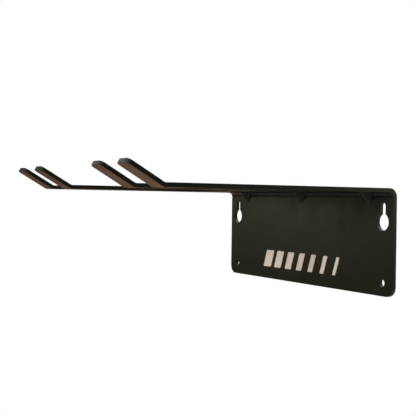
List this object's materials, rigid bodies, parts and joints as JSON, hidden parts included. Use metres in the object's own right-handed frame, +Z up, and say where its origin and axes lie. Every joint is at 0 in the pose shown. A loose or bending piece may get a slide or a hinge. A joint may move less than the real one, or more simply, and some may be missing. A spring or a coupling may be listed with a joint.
{
  "type": "wall-mounted ski rack",
  "caption": "Folded sheet wall bracket: a screw-on plate with keyholes and a flat shelf of paired forks with upturned, round-cornered finger ends that hold skis by their tips.",
  "frame": {"origin": "middle of the wall plate's flat back face, which lies against the wall", "axes": "+Y into the wall, -Y into the room and along the forks, +X along the wall to the right as seen from the room, +Z up"},
  "size_m": [0.3, 0.2833, 0.1242],
  "materials": {
    "powder_coated_sheet": "semi-gloss black powder coat with a fine grain",
    "vinyl": "cream cut vinyl, satin"
  },
  "bodies": {
    "root": {"rack_sheet": "powder_coated_sheet", "marking_bar_1": "vinyl", "marking_bar_2": "vinyl", "marking_bar_3": "vinyl", "marking_bar_4": "vinyl", "marking_bar_5": "vinyl", "marking_bar_6": "vinyl", "marking_bar_7": "vinyl"}
  },
  "joints": []
}
